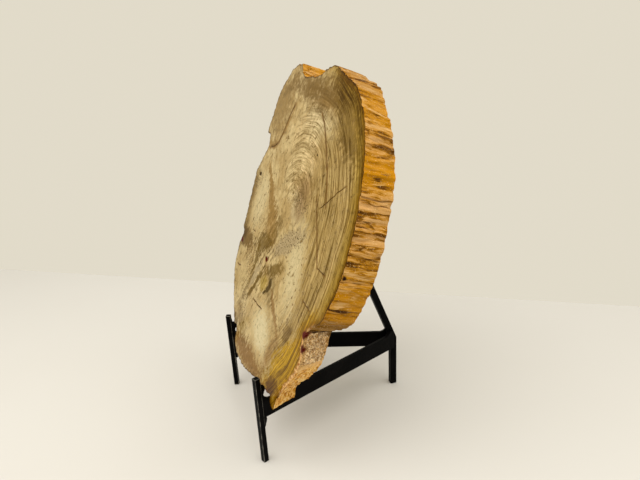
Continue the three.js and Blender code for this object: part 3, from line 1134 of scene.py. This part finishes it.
def post_frame(name):
    """The post's foot, the ways along and across its rail, its height and its forward lean."""
    low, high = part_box(name)
    leg_low, leg_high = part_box("rear_prop")
    half = POST_BAR / 2 * MM
    foot = Vector(((low.x + high.x) / 2, high.y - half, 0))
    leg = Vector(((leg_low.x + leg_high.x) / 2, leg_high.y - LEG_BAR / 2 * MM, 0))
    along = (leg - foot).normalized()
    aside = Vector((along.y, -along.x, 0))
    reach = half * (abs(along.x) + abs(along.y))
    return foot, along, aside, high.z, foot.y - low.y - reach


def build_post(name):
    foot, along, aside, height, lean = post_frame(name)
    half = POST_BAR / 2 * MM
    points = []
    for middle in (foot, foot + Vector((0, -lean, height))):
        for forward, right in ((-1, -1), (-1, 1), (1, 1), (1, -1)):
            points.append(middle + half * (forward * along + right * aside))
    sides = [[k, (k + 1) % 4, (k + 1) % 4 + 4, k + 4] for k in range(4)]
    return new_mesh(POSTS[name], points, [[3, 2, 1, 0], [4, 5, 6, 7]] + sides)


def unit_ball():
    ball = bmesh.new()
    bmesh.ops.create_icosphere(ball, subdivisions=3, radius=1.0)
    places = [v.co.copy() for v in ball.verts]
    triangles = [[v.index for v in face.verts] for face in ball.faces]
    ball.free()
    return places, triangles


def build_welds():
    """Lumpy beads, drawn out along the post."""
    places, triangles = unit_ball()
    points, faces = [], []
    for name in POSTS:
        foot, along, aside, height, lean = post_frame(name)
        for out, drop, (wide, deep, tall) in WELDS:
            level = height - drop * MM
            centre = foot + Vector((0, -lean * level / height, level)) + along * out * MM
            faces += [[len(points) + v for v in face] for face in triangles]
            for place in places:
                swell = 1 + WELD_LUMPS * noise.noise(place * 1.6 + centre / MM)
                offset = aside * place.x * wide + along * place.y * deep
                offset.z += place.z * tall
                points.append(centre + offset * swell * MM)
    mesh = new_mesh("weld_beads", points, faces)
    mesh.shade_smooth()
    return mesh


def coat_iron(piece, paint, highlit):
    """Black paint, with a painted highlight along narrow bevels."""
    piece.data.materials.clear()
    for material in (paint, highlit):
        piece.data.materials.append(material)
    bevel = piece.modifiers.new("highlit_edges", "BEVEL")
    bevel.width = HIGHLIT_EDGE_WIDTH * MM
    bevel.segments = 2
    bevel.limit_method = "ANGLE"
    bevel.angle_limit = math.radians(25)
    # The bevel faces take the painted highlight
    bevel.material = 1


def dress_iron():
    paint, highlit = black_iron(), highlit_edge_iron()
    for name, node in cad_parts.items():
        if name != SLICE:
            coat_iron(node, paint, highlit)
    for name, post_name in POSTS.items():
        post = add_piece(post_name, build_post(name), [name])
        coat_iron(post, paint, highlit)
    welds = build_welds()
    welds.materials.append(paint)
    add_piece("weld_beads", welds)


# Floor, light and camera
WALL_NEAR = Vector((-0.394, -0.092))  # two places on the table's rear edge
WALL_FAR = Vector((-0.093, 0.360))
TABLE_WIDTH = 3.2
TABLE_DEPTH = 1.25
TABLE_PALE = rgb(206, 205, 202)
TABLE_GREY = rgb(202, 200, 196)


def build_floor():
    along = (WALL_FAR - WALL_NEAR).normalized()
    out = Vector((along.y, -along.x)) * TABLE_DEPTH
    middle = (WALL_NEAR + WALL_FAR) / 2
    back = [middle - along * TABLE_WIDTH / 2, middle + along * TABLE_WIDTH / 2]
    corners = [back[0] + out, back[1] + out, back[1], back[0]]
    floor = new_object("floor", new_mesh("floor", [(c.x, c.y, 0) for c in corners], [[0, 1, 2, 3]]))
    g = new_material("table_top")
    place = g.place()
    colour = g.mix(g.grain(place, 0.3, 2.0), TABLE_PALE, TABLE_GREY)
    floor.data.materials.append(g.finish(colour, 0.6, shine=0.1))


ROOM_COLOUR = rgb(233, 226, 208)
ROOM = 0.93        # strength of the room's light
DIM = 0.15         # the same, low down on the front side
ON_RIGHT = 0.7     # share of it from the right
SLICE_MIDDLE = (0, 0, 0.16)
# Lamps: name, place, width of the disk, power and colour
LAMPS = [
    ("ceiling", (0.3, -0.7, 1.2), 1.6, 15, (1, 0.97, 0.92)),
    ("ceiling_far", (0.45, 0.45, 1.5), 1.2, 11, (1, 0.97, 0.92)),
    ("window", (1.2, 0.1, 0.3), 0.8, 2.2, (1, 0.96, 0.88)),
]


def add_lamp(name, place, size, power, colour):
    data = bpy.data.lights.new(name, "AREA")
    data.shape = "DISK"
    data.size = size
    data.energy = power
    data.color = colour
    lamp = new_object(name, data)
    lamp.location = place
    lamp.rotation_mode = "QUATERNION"
    lamp.rotation_quaternion = (Vector(SLICE_MIDDLE) - Vector(place)).to_track_quat("-Z", "Y")


def build_room():
    """A pale room that lights the object less from low down on the front side."""
    g = Graph(bpy.data.worlds.new("room"))
    toward = g.node("ShaderNodeTexCoord").outputs["Generated"]
    back = g.ease(g.axis(toward, 1), -0.5, -0.24, DIM, ROOM)
    above = g.ease(g.axis(toward, 2), 0.25, 0.55, DIM, ROOM)
    strength = g.times(g.either(back, above), g.ease(g.axis(toward, 0), 0.1, 0.5, 1.0, ON_RIGHT))
    seen = g.node("ShaderNodeLightPath").outputs["Is Camera Ray"]
    background = g.tree.nodes["Background"].inputs
    g.feed(background["Strength"], g.either(strength, g.times(seen, ROOM)))
    g.feed(background["Color"], ROOM_COLOUR)
    bpy.context.scene.world = g.owner


CAMERA_AT = Vector((0.4214, -0.1407, 0.31205))
CAMERA_AZIMUTH = math.radians(71.21)
CAMERA_PITCH = math.radians(17.87)
CAMERA_ROLL = math.radians(-2.63)
CAMERA_LENS = 29.25


def build_camera():
    data = bpy.data.cameras.new("camera")
    data.lens = CAMERA_LENS
    data.sensor_width = 36
    data.clip_start = 0.01
    camera = new_object("camera", data)
    turned = Matrix.Rotation(CAMERA_AZIMUTH, 4, "Z")
    tipped = Matrix.Rotation(math.pi / 2 - CAMERA_PITCH, 4, "X")
    rolled = Matrix.Rotation(CAMERA_ROLL, 4, "Z")
    camera.matrix_world = Matrix.Translation(CAMERA_AT) @ turned @ tipped @ rolled
    bpy.context.scene.camera = camera


slice_mesh, edge_points = build_slice()
for maker in (polished_face, bark, sawn_back):
    slice_mesh.materials.append(maker())
add_piece("petrified_slice", slice_mesh, [SLICE])
crust_mesh = build_crystals(edge_points)
crust_mesh.materials.append(crystal_stone())
add_piece("quartz_crust", crust_mesh)
dress_iron()
build_floor()
build_room()
for lamp in LAMPS:
    add_lamp(*lamp)
build_camera()
bpy.context.scene.view_settings.view_transform = "Standard"
